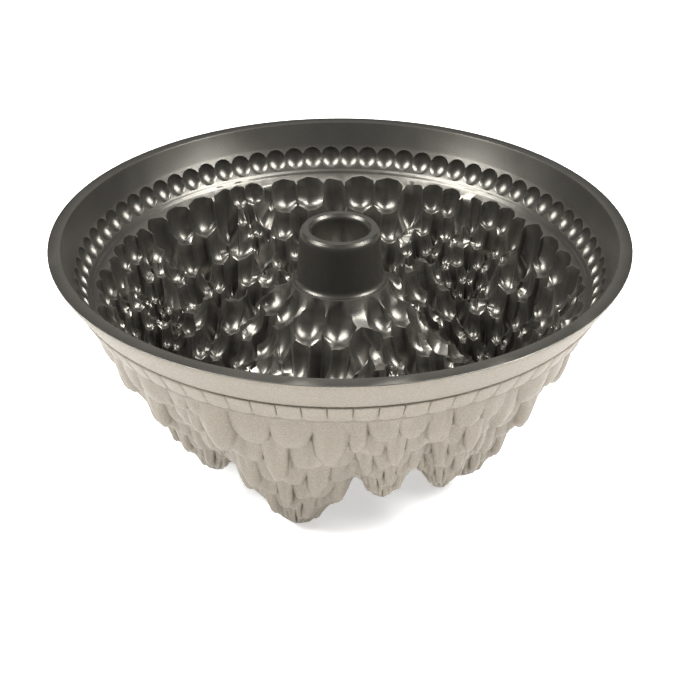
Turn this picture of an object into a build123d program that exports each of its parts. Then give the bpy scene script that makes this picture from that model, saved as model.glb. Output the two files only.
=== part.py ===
"""A cast ring-cake pan whose hollow is a ring of upside-down fir trees.

The frame is +Z up with the origin on the floor under the pan's centre, in mm.
The pan stands on the tips of its three tallest trees, with the rim on top.
The trees come in six sizes, and the set of six repeats three times round the ring.
"""
import os
from math import atan2, cos, degrees, pi, radians, sin

from build123d import *

# Overall size
rim_radius = 130.0
pan_height = 110.0
wall = 3.0
lining_thickness = 0.4

# Heights of the outer face, measured down from the rim
band_depth = 15.6
ledge_depth = 26.8
web_depth = 70.0

# Radii of the outer face
band_radius = 121.0
ledge_radius = 115.5
web_outer_radius = 84.0
web_inner_radius = 76.0

# Rim and centre tube
rim_width = 5.7
tube_hole_radius = 13.0
tube_land = 4.0
tube_top_radius = 18.8
tube_foot_radius = 20.5
tube_foot_depth = 25.0

# Trees: (azimuth from the front in degrees, axis radius, tip depth, outward reach,
# inward reach, sideways reach, tiers). A reach is taken at the ledge.
repeats = 3
trees = [
    (-14.5, 75.4, 110.0, 38.5, 56.0, 55.0, 6),
    (12.0, 86.5, 86.5, 28.4, 35.4, 33.6, 6),
    (30.5, 85.8, 89.7, 29.0, 35.4, 30.6, 6),
    (50.3, 74.1, 102.7, 40.0, 54.4, 46.4, 6),
    (72.3, 75.4, 96.9, 38.8, 45.2, 40.3, 6),
    (87.0, 88.4, 72.8, 26.5, 30.6, 25.1, 5),
]
outline_points = 12
tip_share = 0.1
tier_slope_share = 0.45
tier_shrink = 0.93
full_turn = 2 * pi
# Overlap of the solids where one is cut out of another, at the open top
cut_above = 1.0


def depth_to_z(depth):
    """Height above the floor of a point at this depth below the rim."""
    return pan_height - depth


def tier_depths(first, last, count):
    """Depths of the tier edges: each tier is a little shorter than the one above it."""
    steps = [tier_shrink**i for i in range(count)]
    scale = (last - first) / sum(steps)
    edges = [first]
    for step in steps:
        edges.append(edges[-1] + step * scale)
    return edges


def tree_stack(tree, inset):
    """One tree as a stack of tapered tiers, drawn in on every side by the inset."""
    azimuth, axis_radius, tip_depth, outward, inward, sideways, tiers = tree
    turn = radians(azimuth)
    out_direction = Vector(sin(turn), -cos(turn), 0)
    edges = tier_depths(ledge_depth, tip_depth, tiers)
    drop = tip_depth - ledge_depth
    shares = [1 - (1 - tip_share) * (edge - ledge_depth) / drop for edge in edges]
    with BuildPart() as stack:
        for i in range(tiers):
            top = edges[i] - inset
            height = edges[i + 1] - edges[i]
            draw_in = (shares[i] - shares[i + 1]) * sideways * tier_slope_share
            plane = Plane(
                origin=out_direction * axis_radius + Vector(0, 0, depth_to_z(top)),
                x_dir=out_direction,
                z_dir=(0, 0, -1),
            )
            corners = []
            for j in range(outline_points):
                angle = full_turn * (j + 0.5 * (i % 2)) / outline_points
                reach = outward if cos(angle) > 0 else inward
                corners.append(
                    (
                        (reach * shares[i] - inset) * cos(angle),
                        (sideways * shares[i] - inset) * sin(angle),
                    )
                )
            with BuildSketch(plane) as outline:
                with BuildLine():
                    Polyline(*corners, close=True)
                make_face()
            extrude(outline.sketch, amount=height, taper=degrees(atan2(draw_in, height)))
    return stack.part


def ring_of_trees(inset):
    """All the trees, as one solid."""
    stacks = [tree_stack(tree, inset) for tree in trees]
    with BuildPart() as ring:
        for k in range(repeats):
            for stack in stacks:
                add(stack, rotation=(0, 0, 360 * k / repeats))
    return ring.part


def revolved(points):
    """A closed outline of (radius, depth) points turned round the pan's axis."""
    with BuildPart() as turned:
        with BuildSketch(Plane.XZ):
            with BuildLine():
                Polyline(*[(radius, depth_to_z(depth)) for radius, depth in points], close=True)
            make_face()
        revolve(axis=Axis.Z)
    return turned.part


def outer_form(top):
    """The pan's outside, filled: rim, band, ledge, web under the trees and tube bore."""
    return revolved(
        [
            (tube_hole_radius, top),
            (rim_radius, top),
            (band_radius, band_depth),
            (ledge_radius, ledge_depth),
            (web_outer_radius, web_depth),
            (web_inner_radius, web_depth),
            (tube_foot_radius - wall, tube_foot_depth + wall),
            (tube_hole_radius, tube_land),
        ]
    )


def hollow_form(inset):
    """The space inside: the outside drawn in by the inset, with the tube left standing."""
    extra = inset - wall
    return revolved(
        [
            (tube_top_radius + extra, -cut_above),
            (rim_radius - rim_width - extra, -cut_above),
            (rim_radius - rim_width - extra, 0.0),
            (band_radius - inset, band_depth),
            (ledge_radius - inset, ledge_depth - inset),
            (web_outer_radius - extra, web_depth - inset),
            (web_inner_radius + extra, web_depth - inset),
            (tube_foot_radius + extra, tube_foot_depth - extra),
            (tube_top_radius + extra, 0.0),
        ]
    )


outer_body = outer_form(lining_thickness)
outer_trees = ring_of_trees(0.0)
hollow_body = hollow_form(wall)
hollow_trees = ring_of_trees(wall)
lined_body = hollow_form(wall + lining_thickness)
lined_trees = ring_of_trees(wall + lining_thickness)

# The casting: one aluminium wall of even thickness
with BuildPart() as pan_casting:
    add(outer_body)
    add(outer_trees)
    add(hollow_body, mode=Mode.SUBTRACT)
    add(hollow_trees, mode=Mode.SUBTRACT)
pan_casting.part.label = "pan_casting"

# The lining: a thin skin over the whole hollow, the rim's top and the tube's top
with BuildPart() as nonstick_lining:
    with BuildSketch(Plane.XY.offset(pan_height - lining_thickness)):
        Circle(rim_radius)
        Circle(tube_hole_radius, mode=Mode.SUBTRACT)
    extrude(amount=lining_thickness)
    add(hollow_body)
    add(hollow_trees)
    with BuildSketch(Plane.XY.offset(pan_height)):
        Circle(rim_radius)
    extrude(amount=2 * cut_above, mode=Mode.SUBTRACT)
    add(lined_body, mode=Mode.SUBTRACT)
    add(lined_trees, mode=Mode.SUBTRACT)
nonstick_lining.part.label = "nonstick_lining"

os.makedirs("parts", exist_ok=True)
for piece in (pan_casting, nonstick_lining):
    export_step(piece.part, f"parts/{piece.part.label}.step")
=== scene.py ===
"""Cast ring-cake pan shaped as a grove of fir trees: a pale casting with a dark non-stick lining.

The trees hang point down. Each is a stack of tiers, and each tier is a ring of branches:
two wide ones, then a long narrow one that hangs lower. The casting's outside and the lining's
hollow repeat the same trees, one wall apart.
"""
from math import atan2, cos, pi, radians, sin, sqrt

import bmesh
import bpy
from bpy.props import FloatProperty, FloatVectorProperty, IntProperty, PointerProperty
from bpy.types import Operator, Panel, PropertyGroup
from mathutils import Matrix, Vector


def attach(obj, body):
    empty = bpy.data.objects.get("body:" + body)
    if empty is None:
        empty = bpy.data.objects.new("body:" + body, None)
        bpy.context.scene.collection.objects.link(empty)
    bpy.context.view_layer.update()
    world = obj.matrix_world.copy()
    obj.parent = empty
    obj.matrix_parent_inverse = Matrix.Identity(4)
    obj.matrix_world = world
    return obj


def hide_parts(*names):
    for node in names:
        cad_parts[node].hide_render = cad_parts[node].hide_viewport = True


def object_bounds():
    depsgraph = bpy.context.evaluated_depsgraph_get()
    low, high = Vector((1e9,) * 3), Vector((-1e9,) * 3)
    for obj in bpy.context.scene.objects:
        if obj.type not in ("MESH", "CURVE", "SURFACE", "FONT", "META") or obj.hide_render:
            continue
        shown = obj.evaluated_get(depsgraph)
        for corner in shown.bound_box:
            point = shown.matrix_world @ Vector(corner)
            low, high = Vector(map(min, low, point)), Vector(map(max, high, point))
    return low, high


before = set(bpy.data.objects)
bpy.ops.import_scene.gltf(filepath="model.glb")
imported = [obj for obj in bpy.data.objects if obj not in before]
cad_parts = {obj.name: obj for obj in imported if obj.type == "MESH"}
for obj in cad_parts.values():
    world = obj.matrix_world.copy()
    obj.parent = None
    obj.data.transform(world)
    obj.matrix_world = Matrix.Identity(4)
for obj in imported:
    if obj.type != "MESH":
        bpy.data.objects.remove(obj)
CAD_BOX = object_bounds()

bl_info = {
    "name": "Ring cake pan",
    "version": (1, 0, 0),
    "blender": (4, 5, 0),
    "location": "View3D > Sidebar > Cake Pan",
    "description": "Builds a cast ring-cake pan of fir trees with its dark lining, and a studio for it",
    "category": "Add Mesh",
}

RIM_RADIUS = (CAD_BOX[1].x - CAD_BOX[0].x) / 2
PAN_HEIGHT = CAD_BOX[1].z
MOST_TRIANGLES = 192000
MENDING_ROUNDS = 6
# A ridge's painted highlight starts at the first of these bends and is full from the second
RIDGE_BEND, FULL_RIDGE_BEND = radians(20), radians(80)
CASTING_CREASE, LINING_CREASE = 62, 48

# Every length below is a share of the rim's radius, and depths are measured down from the rim.
# A profile point is (radius, depth) or (radius, depth, length of the corner that is rounded off).
TUBE_HOLE = 0.099
RIM_WIDTH = 0.044
BORE_COAT_DEPTH = 0.120
LEDGE_RADIUS, LEDGE_DEPTH = 0.8886, 0.206
OUTSIDE_PROFILE = (
    (0.115, 0.000),
    (1.000, 0.000, 0.004),
    (0.996, 0.016, 0.010),
    (0.936, 0.113, 0.004),
    (0.930, 0.118, 0.002),
    (0.887, 0.199, 0.003),
    (LEDGE_RADIUS, LEDGE_DEPTH, 0.002),
    (0.790, 0.222),
    (0.115, 0.290),
)
HOLLOW_PROFILE = (
    (0.060, -0.030),
    (1 - RIM_WIDTH + 0.004, -0.030),
    (1 - RIM_WIDTH + 0.004, -0.004),
    (1 - RIM_WIDTH, 0.004, 0.005),
    (0.926, 0.080, 0.003),
    (0.9215, 0.087, 0.003),
    (0.8790, 0.173, 0.003),
    (0.8715, 0.178, 0.003),
    (0.8665, 0.188, 0.003),
    (0.8420, 0.203),
    (0.8000, 0.236),
    (0.6000, 0.290),
    (0.3000, 0.285),
    (0.2100, 0.258),
    (0.1850, 0.235),
    (0.1680, 0.196),
    (0.0600, 0.196),
)
TUBE_PROFILE = (
    (0.040, -0.040),
    (0.125, -0.040),
    (0.130, 0.000, 0.003),
    (0.1420, 0.015, 0.015),
    (0.1540, 0.183, 0.008),
    (0.1660, 0.197, 0.006),
    (0.1480, 0.250),
    (0.040, 0.250),
)
BORE_PROFILE = (
    (0.030, -0.040),
    (TUBE_HOLE + 0.012, -0.040),
    (TUBE_HOLE + 0.012, 0.000, 0.003),
    (TUBE_HOLE, 0.014, 0.012),
    (0.1300, 0.250),
    (0.1400, 0.600),
    (0.030, 0.600),
)

# Places of the camera and of what it looks at: across, towards the front, depth
CAMERA_PLACE = (-0.0017, 4.146, -2.083)
CAMERA_TARGET = (0.0, 0.0, 0.458)
CAMERA_LENS = 70.5

# Scoops and cells of the beaded row. The scoop and its place are shares of the rim's radius;
# a cell's corner is a share of its width.
SCOOP_RING_RADIUS = 0.9008
SCOOP_OVERLAP = 1.28
SCOOP_HEIGHT, SCOOP_DEPTH = 0.0530, 0.0370
SCOOP_LIFT = -0.0195
CELL_RING_RADIUS = 0.9065
CELL_OVERLAP = 1.01
CELL_HEIGHT, CELL_THICKNESS, CELL_PROUD = 0.084, 0.040, 0.0065
CELL_CORNER, CELL_EDGE = 0.36, 0.0065

# Trees, three times round: azimuth from the front in degrees, radius of the axis, depth of the
# tip, reach of the top tier outward, inward and sideways, and groups of branches in a turn
REPEATS = 3
TREES = (
    (-14.5, 0.580, 0.846, 0.315, 0.458, 0.450, 6),
    (12.0, 0.665, 0.665, 0.232, 0.290, 0.275, 4),
    (30.5, 0.660, 0.690, 0.237, 0.290, 0.250, 4),
    (50.3, 0.570, 0.790, 0.327, 0.445, 0.380, 6),
    (72.3, 0.580, 0.745, 0.317, 0.370, 0.330, 4),
    (87.0, 0.680, 0.560, 0.217, 0.250, 0.205, 4),
)
TIERS = 7
TIER_SHRINK = 0.86
TIP_SHARE = 0.11
GROUP = 90
WIDE, LONG = 32, 26
DROOP_OF_LONG = 0.5


def spaced(start, stop, count, edge):
    """Angles across one branch: its edge, a step just inside it, and even steps between."""
    inner = [start + edge + (stop - start - 2 * edge) * i / (count - 2) for i in range(count - 1)]
    return [start] + inner


def pattern_angles(groups, edge):
    """Angles of the mesh's columns, close together where two branches meet."""
    joints = (0, LONG / 2, WIDE, WIDE + LONG / 2, WIDE + LONG, GROUP - LONG / 2, GROUP)
    turn = []
    for start, stop in zip(joints, joints[1:]):
        count = 4 if stop - start > 15 else 3
        turn += spaced(start, stop, count, edge)
    return [GROUP * group + angle for group in range(groups) for angle in turn]


def branch_at(angle, tier):
    """How far a pattern angle is across its branch, -1 to 1, and whether the branch is a long one."""
    shift = angle % GROUP if tier % 2 == 0 else (angle + GROUP / 2) % GROUP
    if shift < WIDE:
        return shift * 2 / WIDE - 1, False
    if shift < WIDE + LONG:
        return (shift - WIDE) * 2 / LONG - 1, True
    return (shift - WIDE - LONG) * 2 / WIDE - 1, False


def tier_edges():
    """Depths of the tiers' lower edges, from 0 at a tree's top to 1 at its tip."""
    steps = [TIER_SHRINK ** tier for tier in range(TIERS)]
    return [sum(steps[:tier]) / sum(steps) for tier in range(TIERS + 1)]


def tier_shares():
    """Reach of each tier as a share of the top tier's."""
    edges = tier_edges()
    reach = [TIP_SHARE + (1 - TIP_SHARE) * (1 - (a + b) / 2) for a, b in zip(edges, edges[1:])]
    return [share / reach[0] for share in reach]


EDGES = tier_edges()
SHARES = tier_shares()
WIDE_HEIGHT = radians(WIDE) / 2
CROWN_HEIGHT = 0.25
# Mesh rows down a tier: a first one close under the tier above, then angles along its curve
FIRST_ROW = 0.045
ROWS = [radians(angle) for angle in (20, 40, 58, 73, 84, 90)]
FEW_ROWS = [radians(angle) for angle in (30, 58, 80, 90)]
FINE_TIERS = 4


class Relief:
    """How one face of the pan draws the trees: the outside is worn and shallow, the hollow crisp."""

    def __init__(self, *, inset, bulge, tip_bulge, fill, long_height, roundness, lean, shoulder,
                 corner, edge):
        self.inset = inset          # how far inside the outer trees it lies
        self.bulge = bulge          # depth of the grooves beside the branches' half width
        self.tip_bulge = tip_bulge  # what is left of those grooves on the last two tiers
        self.fill = fill            # part of each groove's depth that is filled up
        self.long_height = long_height  # height of a long branch; a wide one's is WIDE_HEIGHT
        self.roundness = roundness  # power of a branch's cross-section; 2 is a semicircle
        self.lean = lean            # part of a tier's step taken by its slanting side
        self.shoulder = shoulder    # power of the curve under a tier; 2 is a quarter circle
        self.corner = corner        # how high a branch's lower corners rise, in tier depths
        self.edge = edge            # first column inside a branch's edge, in pattern degrees


def real_angle(pattern, groups):
    """Where a pattern angle falls round the tree; branches are spaced to keep an even width."""
    stretch = groups * GROUP / 360
    swing = 0.2 if groups == 4 else -0.3
    turn = pattern / stretch
    for _ in range(24):
        turn = (pattern - swing * sin(turn)) / stretch
    return turn, stretch + swing * cos(turn)


def tier_reach(tier, angle, relief, rate):
    """Reach of a tier at a pattern angle, beside the reach of its tallest branch."""
    groove = relief.bulge / rate * (1.0 if tier < TIERS - 2 else relief.tip_bulge)
    if tier == TIERS - 1:
        across, height = (angle % GROUP) * 2 / GROUP - 1, CROWN_HEIGHT
    else:
        across, is_long = branch_at(angle, tier)
        height = relief.long_height if is_long else WIDE_HEIGHT
    arch = max(0.0, 1 - abs(across) ** relief.roundness) ** (1 / relief.roundness)
    arch = relief.fill + (1 - relief.fill) * arch
    return 1 - groove * (relief.long_height - height * arch)


def tier_bottom(tier, angle, relief, top, drop):
    """Depth at which a tier ends at a pattern angle."""
    pitch = (EDGES[tier + 1] - EDGES[tier]) * drop
    low = top + EDGES[tier + 1] * drop
    if tier == TIERS - 1:
        return top + drop
    across, is_long = branch_at(angle, tier)
    edge = low - relief.corner * pitch
    if is_long:
        droop = DROOP_OF_LONG if tier < TIERS - 2 else 0.15
        return edge + (relief.corner + droop) * pitch * sqrt(max(0.0, 1 - across * across))
    return edge + relief.corner * pitch * (1 - abs(across) ** 2.6) ** 0.5


def column_points(tree, angle, relief):
    """Points (distance from the tree's axis, depth) down one side of a tree.

    A tier curves in to a plain shelf, and the branches of the next tier start below that shelf.
    """
    tip, outward, inward, sideways, groups = tree[2:]
    turn, rate = real_angle(radians(angle), groups)
    front = outward if cos(turn) > 0 else inward
    base = 1 / sqrt((cos(turn) / front) ** 2 + (sin(turn) / sideways) ** 2)
    top = LEDGE_DEPTH - 0.35 * relief.inset
    drop = tip - 1.1 * relief.inset - top
    reach = [
        max(base * SHARES[tier] * tier_reach(tier, angle, relief, rate) - relief.inset, 0.004)
        for tier in range(TIERS)
    ]
    shelf = [base * share - relief.inset for share in SHARES[1:]] + [0.0]
    points = [(reach[0], LEDGE_DEPTH - relief.inset)]
    start = top
    for tier in range(TIERS):
        end = tier_bottom(tier, angle, relief, top, drop)
        step = reach[tier] - max(0.0, shelf[tier])
        last = tier == TIERS - 1
        power = 2.0 if last else relief.shoulder
        lean = 0.35 if last else relief.lean
        points.append((reach[tier] - step * lean * FIRST_ROW, start + (end - start) * FIRST_ROW))
        for row in ROWS if tier < FINE_TIERS else FEW_ROWS:
            down = sin(row) ** (2 / power)
            around = max(0.0, cos(row)) ** (2 / power)
            distance = reach[tier] - step * (lean * down + (1 - lean) * (1 - around))
            points.append((distance, start + (end - start) * down))
        start = end
    return turn, points


def at(across, outward, depth):
    """A point in metres, from shares of the rim's radius."""
    return Vector((across * RIM_RADIUS, -outward * RIM_RADIUS, PAN_HEIGHT - depth * RIM_RADIUS))


def tree_mesh(tree, relief):
    """One tree: a ladder of vertices spun about an upright axis, then drawn out to its branches."""
    angles = pattern_angles(tree[-1], relief.edge)
    columns = [column_points(tree, angle, relief) for angle in angles]
    count = len(columns[0][1])
    mesh = bmesh.new()
    chain = [mesh.verts.new((0, 0, 1))]
    chain += [mesh.verts.new((1, 0, -row)) for row in range(count - 1)]
    chain += [mesh.verts.new((0, 0, 1 - count))]
    links = [mesh.edges.new(pair) for pair in zip(chain, chain[1:])]
    bmesh.ops.spin(
        mesh, geom=chain + links, cent=(0, 0, 0), axis=(0, 0, 1),
        angle=2 * pi, steps=len(angles), use_merge=True,
    )
    bmesh.ops.remove_doubles(mesh, verts=mesh.verts, dist=1e-5)
    bmesh.ops.recalc_face_normals(mesh, faces=mesh.faces)
    azimuth, axis = radians(tree[0]), tree[1]
    for vertex in mesh.verts:
        row = max(0, -round(vertex.co.z))
        column = round(atan2(vertex.co.y, vertex.co.x) / (2 * pi) * len(columns)) % len(columns)
        turn, points = columns[column]
        distance, depth = points[row]
        if vertex.co.x ** 2 + vertex.co.y ** 2 < 0.25:
            distance = 0.0
        outward = axis + distance * cos(turn)
        across = distance * sin(turn)
        vertex.co = at(
            outward * sin(azimuth) + across * cos(azimuth),
            outward * cos(azimuth) - across * sin(azimuth), depth,
        )
    return mesh


def new_piece(name, mesh):
    """A scene object that holds a finished bmesh."""
    data = bpy.data.meshes.new(name)
    mesh.to_mesh(data)
    mesh.free()
    piece = bpy.data.objects.new(name, data)
    bpy.context.scene.collection.objects.link(piece)
    return piece


def repeated(name, mesh, turns):
    """Copies of a bmesh turned evenly about the pan's axis, each an object of its own."""
    pieces = []
    for index in range(turns):
        copy = mesh.copy()
        turn = Matrix.Rotation(2 * pi * index / turns, 3, "Z")
        bmesh.ops.rotate(copy, verts=copy.verts, cent=(0, 0, 0), matrix=turn)
        pieces.append(new_piece(name, copy))
    mesh.free()
    return pieces


def spread_round(make_one, count):
    """Pieces round the pan from one shape, in three objects so that none touches itself."""
    one = make_one()
    pieces = []
    for first in range(3):
        ring = bmesh.new()
        for index in range(first, count, 3):
            copy = one.copy()
            turn = Matrix.Rotation(2 * pi * index / count, 3, "Z")
            bmesh.ops.rotate(copy, verts=copy.verts, cent=(0, 0, 0), matrix=turn)
            data = bpy.data.meshes.new("one")
            copy.to_mesh(data)
            copy.free()
            ring.from_mesh(data)
            bpy.data.meshes.remove(data)
        pieces.append(new_piece("ring", ring))
    one.free()
    return pieces


def rounded(profile, steps=5):
    """The profile as plain points, with each corner that has a length rounded off."""
    most = 0.45
    points = []
    for index, corner in enumerate(profile):
        here = Vector(corner[:2])
        if len(corner) == 2:
            points.append(here)
            continue
        before = Vector(profile[index - 1][:2]) - here
        after = Vector(profile[(index + 1) % len(profile)][:2]) - here
        start = here + before.normalized() * min(corner[2], before.length * most)
        end = here + after.normalized() * min(corner[2], after.length * most)
        for step in range(steps):
            t = step / (steps - 1)
            points.append(start * (1 - t) ** 2 + here * 2 * t * (1 - t) + end * t ** 2)
    return points


def grown(points, distance):
    """The closed outline moved out by a distance, with mitred corners."""
    moved = []
    for index, here in enumerate(points):
        before = (here - points[index - 1]).normalized()
        after = (points[(index + 1) % len(points)] - here).normalized()
        side = Vector((before.y + after.y, -before.x - after.x))
        turn = max(0.3, 1 + before.dot(after))
        moved.append(here + side * (distance / turn))
    return moved


def spun(name, points, steps):
    """A closed outline of (radius, depth) points turned full circle."""
    mesh = bmesh.new()
    corners = [mesh.verts.new(at(point.x, 0, point.y)) for point in points]
    sides = [mesh.edges.new(pair) for pair in zip(corners, corners[1:] + corners[:1])]
    bmesh.ops.spin(
        mesh, geom=corners + sides, cent=(0, 0, 0), axis=(0, 0, 1),
        angle=2 * pi, steps=steps, use_merge=True,
    )
    bmesh.ops.remove_doubles(mesh, verts=mesh.verts, dist=1e-6)
    bmesh.ops.recalc_face_normals(mesh, faces=mesh.faces)
    return new_piece(name, mesh)


def combine(base, operation, pieces):
    """The base joined with, or cut by, the pieces, which are used up."""
    tools = bpy.data.collections.new("tools")
    for piece in pieces:
        tools.objects.link(piece)
    step = base.modifiers.new("combine", "BOOLEAN")
    step.operation = operation
    step.operand_type = "COLLECTION"
    step.collection = tools
    step.solver = "MANIFOLD"
    graph = bpy.context.evaluated_depsgraph_get()
    result = bpy.data.meshes.new_from_object(base.evaluated_get(graph))
    if not result.polygons:
        raise RuntimeError("Nothing is left of " + base.name + " after it was combined")
    base.modifiers.clear()
    base.data = result
    for piece in pieces:
        bpy.data.objects.remove(piece)
    bpy.data.collections.remove(tools)
    return base


def on_wall(upper, lower, lift, size):
    """Places a unit shape on the front of a sloping wall: its z out of the wall, its y down it."""
    upper, lower = Vector(upper[:2]), Vector(lower[:2])
    slope = (lower - upper).normalized()
    middle = (upper + lower) / 2
    outward, below = Vector((0, -1, 0)), Vector((0, 0, -1))
    down = outward * slope.x + below * slope.y
    out = outward * slope.y - below * slope.x
    axes = Matrix((down.cross(out), down, out)).transposed().to_4x4()
    scale = Matrix.Diagonal((*[length * RIM_RADIUS for length in size], 1))
    place = at(0, middle.x, middle.y) + out * lift * RIM_RADIUS
    return Matrix.Translation(place) @ axes @ scale


def bead(pan, extra):
    """One oval scoop under the smooth band, as the solid that it takes from the wall."""
    across = pi * SCOOP_RING_RADIUS / pan.beads * SCOOP_OVERLAP
    size = (across + extra, SCOOP_HEIGHT + extra, SCOOP_DEPTH + extra)
    mesh = bmesh.new()
    bmesh.ops.create_uvsphere(
        mesh, u_segments=16, v_segments=10, radius=1,
        matrix=on_wall(HOLLOW_PROFILE[5], HOLLOW_PROFILE[6], SCOOP_LIFT, size),
    )
    return mesh


def cell(pan):
    """One raised cell of the row above the ledge, round at its lower corners."""
    width = 2 * pi * CELL_RING_RADIUS / pan.beads * CELL_OVERLAP
    mesh = bmesh.new()
    bmesh.ops.create_cube(mesh, size=1)
    bmesh.ops.scale(mesh, verts=mesh.verts, vec=(width, CELL_HEIGHT, CELL_THICKNESS))
    low = [edge for edge in mesh.edges if all(vertex.co.y > 0 for vertex in edge.verts)
           and abs(edge.verts[0].co.z - edge.verts[1].co.z) > CELL_THICKNESS / 2]
    bmesh.ops.bevel(
        mesh, geom=low, offset=width * CELL_CORNER, segments=4,
        affect="EDGES", profile=0.5, material=-1,
    )
    face_height = CELL_THICKNESS * 0.49
    front = [edge for edge in mesh.edges
             if all(vertex.co.z > face_height for vertex in edge.verts)]
    bmesh.ops.bevel(
        mesh, geom=front, offset=CELL_EDGE, segments=2,
        affect="EDGES", profile=0.5, material=-1,
    )
    lift = CELL_PROUD - CELL_THICKNESS / 2
    place = on_wall(OUTSIDE_PROFILE[4], OUTSIDE_PROFILE[5], lift, (1, 1, 1))
    bmesh.ops.transform(mesh, verts=mesh.verts, matrix=place)
    return mesh


def grove(relief):
    """Every tree of the pan, each as its own solid."""
    trees = []
    for tree in TREES:
        trees += repeated("tree", tree_mesh(tree, relief), REPEATS)
    return trees


def hollow(pan, relief, extra, top):
    """The space inside the pan, grown outward by extra, from the given depth down."""
    outline = [Vector((point.x, max(point.y, top)))
               for point in grown(rounded(HOLLOW_PROFILE), extra)]
    room = spun("hollow", outline, pan.round_steps)
    combine(room, "UNION", grove(relief) + spread_round(lambda: bead(pan, extra), pan.beads))
    core = spun("core", grown(rounded(TUBE_PROFILE), -extra), pan.round_steps)
    return combine(room, "DIFFERENCE", [core])


def lighten(piece):
    """Thins the mesh where it is flat, to stay under MOST_TRIANGLES triangles."""
    count = sum(len(polygon.vertices) - 2 for polygon in piece.data.polygons)
    step = piece.modifiers.new("lighten", "DECIMATE")
    step.ratio = min(1.0, MOST_TRIANGLES / count)
    graph = bpy.context.evaluated_depsgraph_get()
    result = bpy.data.meshes.new_from_object(piece.evaluated_get(graph))
    piece.modifiers.clear()
    piece.data = result


def faulty_edges(mesh):
    """Edges that don't join exactly two faces."""
    return [edge for edge in mesh.edges if len(edge.link_faces) != 2]


def mend(mesh):
    """Closes the small tears that thinning leaves: the faces round each are cut out and refilled."""
    for _ in range(MENDING_ROUNDS):
        faulty = faulty_edges(mesh)
        if not faulty:
            return
        mesh.faces.index_update()
        near = {face for edge in faulty for vertex in edge.verts for face in vertex.link_faces}
        near = sorted(near, key=lambda face: face.index)
        bmesh.ops.delete(mesh, geom=near, context="FACES")
        loose = [edge for edge in mesh.edges if not edge.link_faces]
        bmesh.ops.delete(mesh, geom=loose, context="EDGES")
        filled = bmesh.ops.holes_fill(mesh, edges=faulty_edges(mesh), sides=0)["faces"]
        bmesh.ops.triangulate(mesh, faces=filled)
    if faulty_edges(mesh):
        raise RuntimeError("The thinned mesh still has tears")


def finish_surface(piece, sharp_degrees):
    """Smooth shading with the crisp edges kept, and each ridge's strength stored for the painted ridge
    highlight in the finish.
    """
    lighten(piece)
    mesh = bmesh.new()
    mesh.from_mesh(piece.data)
    mend(mesh)
    bmesh.ops.recalc_face_normals(mesh, faces=mesh.faces)
    crest = mesh.verts.layers.float.new("crest")
    for face in mesh.faces:
        face.smooth = True
    for edge in mesh.edges:
        bend = edge.calc_face_angle_signed(0.0)
        edge.smooth = abs(bend) < radians(sharp_degrees)
        if bend > RIDGE_BEND:
            for vertex in edge.verts:
                vertex[crest] = max(vertex[crest], min(1.0, bend / FULL_RIDGE_BEND))
    mesh.to_mesh(piece.data)
    mesh.free()


def cap(pan):
    """The coat over the rim and the tube's lip, and down the tube's bore."""
    coat = pan.coat / RIM_RADIUS
    bore = grown(rounded(BORE_PROFILE), coat)
    sleeve = max(point.x for point in bore if 0 < point.y < BORE_COAT_DEPTH)
    outline = ((0.05, 0.0), (1.0, 0.0, coat), (1.0, coat), (sleeve + 0.012, coat))
    outline += ((sleeve, 0.02), (sleeve, BORE_COAT_DEPTH), (0.05, BORE_COAT_DEPTH))
    return spun("cap", rounded(outline), pan.round_steps)


def inside_relief(pan, inset):
    """How the hollow draws the trees: deep scoops with crisp ridges between them."""
    return Relief(
        inset=inset, bulge=pan.scoop_depth, tip_bulge=1.0, fill=0.0, long_height=0.37,
        roundness=2.1, lean=0.12, shoulder=2.2, corner=0.33, edge=1.6,
    )


def outside_relief(pan):
    """How the outside draws the trees: worn, shallow branches with fine grooves."""
    return Relief(
        inset=0.0, bulge=pan.branch_depth, tip_bulge=0.35, fill=0.30, long_height=0.62,
        roundness=2.2, lean=0.38, shoulder=2.6, corner=0.36, edge=3.0,
    )


def coat_solid(pan):
    """Everything inside the casting's inner face, up to the top of the rim's coat."""
    coat = pan.coat / RIM_RADIUS
    room = hollow(pan, inside_relief(pan, pan.wall / RIM_RADIUS), coat, coat / 2)
    return combine(room, "UNION", [cap(pan)])


def bore(pan):
    """The passage through the tube."""
    return spun("bore", rounded(BORE_PROFILE), pan.round_steps)


def make_casting(pan):
    """The pale casting: the outside form less the coat's space and the tube's bore."""
    casting = spun("casting", rounded(OUTSIDE_PROFILE), pan.round_steps)
    raised = grove(outside_relief(pan)) + spread_round(lambda: cell(pan), pan.beads)
    combine(casting, "UNION", raised)
    combine(casting, "DIFFERENCE", [coat_solid(pan)])
    return combine(casting, "DIFFERENCE", [bore(pan)])


def make_lining(pan):
    """The dark lining: the coat's space less the pan's open inside and the tube's bore."""
    lining = coat_solid(pan)
    inside = inside_relief(pan, (pan.wall + pan.coat) / RIM_RADIUS)
    combine(lining, "DIFFERENCE", [hollow(pan, inside, 0.0, -0.03)])
    return combine(lining, "DIFFERENCE", [bore(pan)])


# Finishes

def add_node(tree, kind, **inputs):
    """A node with some of its sockets set, by name."""
    node = tree.nodes.new(kind)
    for name, value in inputs.items():
        node.inputs[name.replace("_", " ")].default_value = value
    return node


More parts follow.
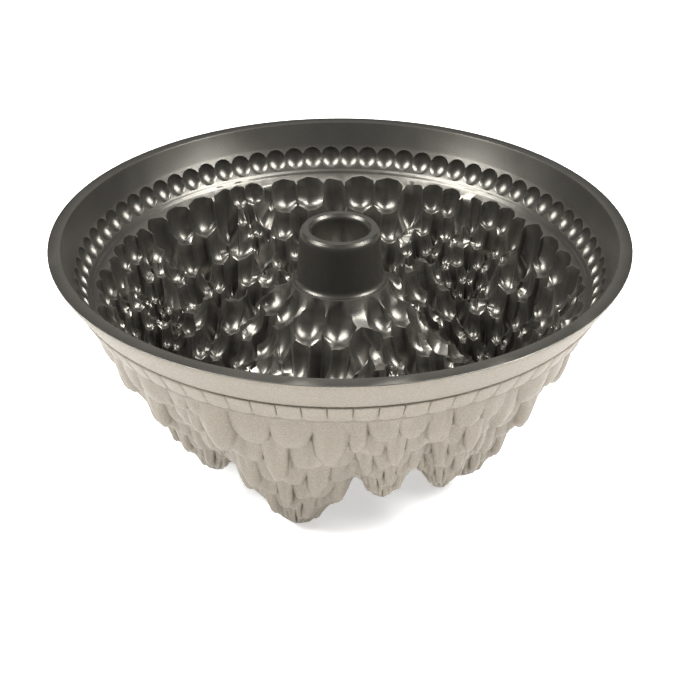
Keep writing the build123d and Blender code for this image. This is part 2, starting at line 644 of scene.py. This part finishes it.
def speckle_group():
    """Fine cast-and-sprayed texture: grains, soft blotches and the height of both."""
    group = bpy.data.node_groups.new("Sprayed speckle", "ShaderNodeTree")
    for name, default in (("Grain Size", 0.0005), ("Blotch Size", 0.02)):
        socket = group.interface.new_socket(name, in_out="INPUT", socket_type="NodeSocketFloat")
        socket.default_value = default
    for name in ("Grain", "Blotch", "Height"):
        group.interface.new_socket(name, in_out="OUTPUT", socket_type="NodeSocketFloat")
    start = group.nodes.new("NodeGroupInput")
    end = group.nodes.new("NodeGroupOutput")
    place = group.nodes.new("ShaderNodeTexCoord")
    noises = {}
    for name, size, detail in (("Grain", "Grain Size", 3.0), ("Blotch", "Blotch Size", 2.0)):
        scale = group.nodes.new("ShaderNodeMath")
        scale.operation = "DIVIDE"
        scale.inputs[0].default_value = 1.0
        noise = add_node(group, "ShaderNodeTexNoise", Detail=detail, Roughness=0.6)
        group.links.new(start.outputs[size], scale.inputs[1])
        group.links.new(scale.outputs[0], noise.inputs["Scale"])
        group.links.new(place.outputs["Object"], noise.inputs["Vector"])
        spread = add_node(group, "ShaderNodeMapRange", From_Min=0.3, From_Max=0.7)
        group.links.new(noise.outputs["Fac"], spread.inputs["Value"])
        group.links.new(spread.outputs["Result"], end.inputs[name])
        noises[name] = spread
    height = group.nodes.new("ShaderNodeMath")
    height.operation = "MULTIPLY_ADD"
    height.inputs[1].default_value = 0.5
    group.links.new(noises["Blotch"].outputs["Result"], height.inputs[0])
    group.links.new(noises["Grain"].outputs["Result"], height.inputs[2])
    group.links.new(height.outputs[0], end.inputs["Height"])
    return group


def ridge_highlight_group():
    """Painted highlight along ridges: the stored strength of each crest, broken up by the grain."""
    group = bpy.data.node_groups.new("Painted ridge highlights", "ShaderNodeTree")
    for name, default in (("Grain", 0.5), ("Amount", 1.0)):
        socket = group.interface.new_socket(name, in_out="INPUT", socket_type="NodeSocketFloat")
        socket.default_value = default
    group.interface.new_socket("Mask", in_out="OUTPUT", socket_type="NodeSocketFloat")
    start = group.nodes.new("NodeGroupInput")
    end = group.nodes.new("NodeGroupOutput")
    crest = group.nodes.new("ShaderNodeAttribute")
    crest.attribute_name = "crest"
    steps = []
    for operation, first, second in (
        ("MULTIPLY_ADD", start.outputs["Grain"], None),
        ("MULTIPLY", crest.outputs["Fac"], None),
        ("MULTIPLY", None, start.outputs["Amount"]),
    ):
        step = group.nodes.new("ShaderNodeMath")
        step.operation = operation
        step.use_clamp = True
        if first is not None:
            group.links.new(first, step.inputs[0])
        if second is not None:
            group.links.new(second, step.inputs[1])
        steps.append(step)
    steps[0].inputs[1].default_value = 0.7
    steps[0].inputs[2].default_value = 0.4
    group.links.new(steps[0].outputs[0], steps[1].inputs[1])
    group.links.new(steps[1].outputs[0], steps[2].inputs[0])
    group.links.new(steps[2].outputs[0], end.inputs["Mask"])
    return group


def shared_group(name, build):
    """A node group made once and used by each finish."""
    return bpy.data.node_groups.get(name) or build()


def place_group(tree, group, **inputs):
    """A node group placed in a material, with some of its inputs set by name."""
    node = tree.nodes.new("ShaderNodeGroup")
    node.node_tree = group
    for name, value in inputs.items():
        node.inputs[name.replace("_", " ")].default_value = value
    return node


def mix_colours(tree, factor, first, second):
    """A colour between two, by a factor socket; each colour is a tuple or a socket."""
    mix = tree.nodes.new("ShaderNodeMix")
    mix.data_type = "RGBA"
    tree.links.new(factor, mix.inputs["Factor"])
    for socket, colour in ((mix.inputs[6], first), (mix.inputs[7], second)):
        if isinstance(colour, bpy.types.NodeSocket):
            tree.links.new(colour, socket)
        else:
            socket.default_value = (*colour, 1)
    return mix.outputs[2]


def ranged(tree, value, low, high):
    """A socket's 0 to 1 mapped onto low to high."""
    node = add_node(tree, "ShaderNodeMapRange", To_Min=low, To_Max=high)
    tree.links.new(value, node.inputs["Value"])
    return node.outputs["Result"]


def new_finish(name, metallic, specular):
    """A material, its node tree and its shader, with the even gloss settings made."""
    finish = bpy.data.materials.new(name)
    finish.use_nodes = True
    tree = finish.node_tree
    shader = tree.nodes["Principled BSDF"]
    shader.inputs["Metallic"].default_value = metallic
    shader.inputs["Specular IOR Level"].default_value = specular
    return finish, tree, shader


def roughen(tree, shader, height, strength, distance):
    """Bump from a height socket."""
    bump = add_node(tree, "ShaderNodeBump", Strength=strength, Distance=distance)
    tree.links.new(height, bump.inputs["Height"])
    tree.links.new(bump.outputs["Normal"], shader.inputs["Normal"])


def casting_finish(pan):
    """Warm pale metallic paint over a sand-cast skin, sparkling slightly, paler along its ridges where
    a highlight is painted.
    """
    finish, tree, shader = new_finish("Pale cast finish", 0.30, 0.5)
    speckle = place_group(tree, shared_group("Sprayed speckle", speckle_group),
                          Grain_Size=pan.grain, Blotch_Size=0.018)
    ridge_highlight = place_group(tree, shared_group("Painted ridge highlights", ridge_highlight_group), Amount=0.35)
    tree.links.new(speckle.outputs["Grain"], ridge_highlight.inputs["Grain"])
    pale = mix_colours(tree, speckle.outputs["Grain"], pan.casting_shade, pan.casting_colour)
    dull = tuple(part * 0.86 for part in pan.casting_colour)
    # painted highlight: the pale colour lightened along the ridges
    highlight_colour = tuple(min(1.0, part * 1.25) for part in pan.casting_colour)
    tint = mix_colours(tree, ranged(tree, speckle.outputs["Blotch"], 0.0, 0.25), pale, dull)
    bright = mix_colours(tree, ridge_highlight.outputs["Mask"], tint, highlight_colour)
    tree.links.new(bright, shader.inputs["Base Color"])
    tree.links.new(ranged(tree, speckle.outputs["Grain"], 0.58, 0.42), shader.inputs["Roughness"])
    roughen(tree, shader, speckle.outputs["Height"], 0.35, 0.0003)
    return finish


def lining_finish(pan):
    """Dark satin coat with metal flake, paler along its ridges where a highlight is painted."""
    finish, tree, shader = new_finish("Dark non-stick coat", 0.80, 0.5)
    speckle = place_group(tree, shared_group("Sprayed speckle", speckle_group),
                          Grain_Size=pan.grain * 0.8, Blotch_Size=0.03)
    ridge_highlight = place_group(tree, shared_group("Painted ridge highlights", ridge_highlight_group), Amount=0.9)
    tree.links.new(speckle.outputs["Grain"], ridge_highlight.inputs["Grain"])
    dark = mix_colours(tree, speckle.outputs["Grain"], pan.lining_shade, pan.lining_colour)
    # painted highlight: the dark coat's colour doubled along the ridges
    highlight_colour = tuple(part * 2.0 for part in pan.lining_colour)
    bright = mix_colours(tree, ridge_highlight.outputs["Mask"], dark, highlight_colour)
    tree.links.new(bright, shader.inputs["Base Color"])
    tree.links.new(ranged(tree, speckle.outputs["Blotch"], 0.27, 0.34), shader.inputs["Roughness"])
    roughen(tree, shader, speckle.outputs["Height"], 0.04, 0.0002)
    return finish


def finish_piece(piece, node, material, sharp_degrees):
    """Names the piece for the CAD node it stands for and gives it its finish."""
    finish_surface(piece, sharp_degrees)
    piece.name = piece.data.name = node + "_detailed"
    piece.data.materials.clear()
    piece.data.materials.append(material)
    for polygon in piece.data.polygons:
        polygon.material_index = 0
    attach(piece, "root")
    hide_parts(node)


class PanProperties(PropertyGroup):
    """Sizes and colours of the pan."""

    wall: FloatProperty(
        name="Wall", description="Thickness of the casting between outside and lining",
        default=0.003, min=0.001, unit="LENGTH",
    )
    coat: FloatProperty(
        name="Coat", description="Thickness of the dark lining",
        default=0.0004, min=0.0001, unit="LENGTH",
    )
    beads: IntProperty(
        name="Beads", description="Scoops inside the band, and raised cells outside it",
        default=75, min=3,
    )
    round_steps: IntProperty(
        name="Round steps", description="Facets round the pan's turned surfaces",
        default=300, min=24,
    )
    scoop_depth: FloatProperty(
        name="Scoop depth", description="Depth of the lining's scoops beside their half width",
        default=0.42, min=0.0, subtype="FACTOR",
    )
    branch_depth: FloatProperty(
        name="Branch depth", description="Depth of the outside's grooves beside half a branch",
        default=0.13, min=0.0, subtype="FACTOR",
    )
    grain: FloatProperty(
        name="Grain", description="Size of the specks in the finishes",
        default=0.0006, min=0.0001, unit="LENGTH",
    )
    casting_colour: FloatVectorProperty(
        name="Casting colour", description="Lit colour of the pale outside finish",
        default=(0.208, 0.181, 0.141), subtype="COLOR", size=3, min=0.0, max=1.0,
    )
    casting_shade: FloatVectorProperty(
        name="Casting shade", description="Darker specks of the pale outside finish",
        default=(0.134, 0.116, 0.090), subtype="COLOR", size=3, min=0.0, max=1.0,
    )
    lining_colour: FloatVectorProperty(
        name="Lining colour", description="Metallic colour of the dark coat",
        default=(0.098, 0.093, 0.081), subtype="COLOR", size=3, min=0.0, max=1.0,
    )
    lining_shade: FloatVectorProperty(
        name="Lining shade", description="Darker specks of the dark coat",
        default=(0.076, 0.071, 0.062), subtype="COLOR", size=3, min=0.0, max=1.0,
    )


class StageProperties(PropertyGroup):
    """The studio round the pan."""

    floor_size: FloatProperty(
        name="Floor", description="Side of the plain floor", default=8.0, unit="LENGTH",
    )
    key_power: FloatProperty(
        name="Softboxes", description="Power of each side softbox", default=24.0, min=0.0,
    )
    sky: FloatProperty(
        name="Room light", description="Strength of the even light of the room", default=0.06,
        min=0.0,
    )


class PAN_OT_casting(Operator):
    """Build the pale casting with its trees, cells and tube"""

    bl_idname = "pan.casting"
    bl_label = "Casting"

    def execute(self, context):
        pan = context.scene.cake_pan
        piece = make_casting(pan)
        finish_piece(piece, "pan_casting", casting_finish(pan), CASTING_CREASE)
        return {"FINISHED"}


class PAN_OT_lining(Operator):
    """Build the dark lining with its scoops, beads and rim"""

    bl_idname = "pan.lining"
    bl_label = "Lining"

    def execute(self, context):
        pan = context.scene.cake_pan
        piece = make_lining(pan)
        finish_piece(piece, "nonstick_lining", lining_finish(pan), LINING_CREASE)
        return {"FINISHED"}


def aim(thing, place, target):
    """Puts a light or camera at a place, looking at a target."""
    thing.location = place
    thing.rotation_euler = (Vector(target) - Vector(place)).to_track_quat("-Z", "Y").to_euler()


def softbox(name, place, target, size, power):
    """A plain white rectangular lamp that faces a target."""
    data = bpy.data.lights.new(name, "AREA")
    data.shape = "RECTANGLE"
    data.size, data.size_y = size
    data.energy = power
    lamp = bpy.data.objects.new(name, data)
    bpy.context.scene.collection.objects.link(lamp)
    aim(lamp, place, target)


class PAN_OT_stage(Operator):
    """Build the floor, the lights and the camera"""

    bl_idname = "pan.stage"
    bl_label = "Stage"

    def execute(self, context):
        scene = context.scene
        stage = scene.cake_pan_stage
        floor_mesh = bmesh.new()
        bmesh.ops.create_grid(floor_mesh, x_segments=1, y_segments=1, size=stage.floor_size / 2)
        floor = new_piece("studio_floor", floor_mesh)
        floor.data.materials.append(floor_finish())
        middle = (0, 0, PAN_HEIGHT * 0.6)
        softbox("left_softbox", (-0.64, -0.14, 0.86), middle, (0.50, 0.70), stage.key_power)
        softbox("right_softbox", (0.64, -0.14, 0.86), middle, (0.50, 0.70), stage.key_power)
        softbox("top_softbox", (0.0, 0.25, 1.1), middle, (0.7, 0.4), stage.key_power * 0.10)
        room = bpy.data.worlds.new("Studio room")
        room.use_nodes = True
        room.node_tree.nodes["Background"].inputs["Strength"].default_value = stage.sky
        room.node_tree.nodes["Background"].inputs["Color"].default_value = (1, 1, 1, 1)
        scene.world = room
        scene.view_settings.view_transform = "Standard"
        camera = bpy.data.objects.new("camera", bpy.data.cameras.new("camera"))
        camera.data.lens = CAMERA_LENS
        scene.collection.objects.link(camera)
        aim(camera, at(*CAMERA_PLACE), at(*CAMERA_TARGET))
        scene.camera = camera
        return {"FINISHED"}


def floor_finish():
    """Plain pale floor with a barely visible mottle."""
    finish, tree, shader = new_finish("Studio floor", 0.0, 0.2)
    speckle = place_group(tree, shared_group("Sprayed speckle", speckle_group),
                          Grain_Size=0.004, Blotch_Size=0.4)
    shade = mix_colours(tree, speckle.outputs["Blotch"], (0.95, 0.95, 0.95), (0.97, 0.97, 0.97))
    tree.links.new(shade, shader.inputs["Base Color"])
    shader.inputs["Roughness"].default_value = 0.9
    shader.inputs["Emission Color"].default_value = (1.0, 1.0, 1.0, 1)
    shader.inputs["Emission Strength"].default_value = 0.52
    return finish


class PAN_PT_sidebar(Panel):
    """Lists the pan's pieces and its studio"""

    bl_label = "Ring cake pan"
    bl_idname = "PAN_PT_sidebar"
    bl_space_type = "VIEW_3D"
    bl_region_type = "UI"
    bl_category = "Cake Pan"

    def draw(self, context):
        for group in (context.scene.cake_pan, context.scene.cake_pan_stage):
            for name in group.bl_rna.properties.keys():
                if name not in ("rna_type", "name"):
                    self.layout.prop(group, name)
        for operator in OPERATORS:
            self.layout.operator(operator.bl_idname)


OPERATORS = (PAN_OT_casting, PAN_OT_lining, PAN_OT_stage)
CLASSES = (PanProperties, StageProperties, *OPERATORS, PAN_PT_sidebar)


def register():
    for item in CLASSES:
        bpy.utils.register_class(item)
    bpy.types.Scene.cake_pan = PointerProperty(type=PanProperties)
    bpy.types.Scene.cake_pan_stage = PointerProperty(type=StageProperties)


def unregister():
    del bpy.types.Scene.cake_pan_stage
    del bpy.types.Scene.cake_pan
    for item in reversed(CLASSES):
        bpy.utils.unregister_class(item)


def main():
    register()
    bpy.ops.pan.casting()
    bpy.ops.pan.lining()
    bpy.ops.pan.stage()


if __name__ == "__main__":
    main()
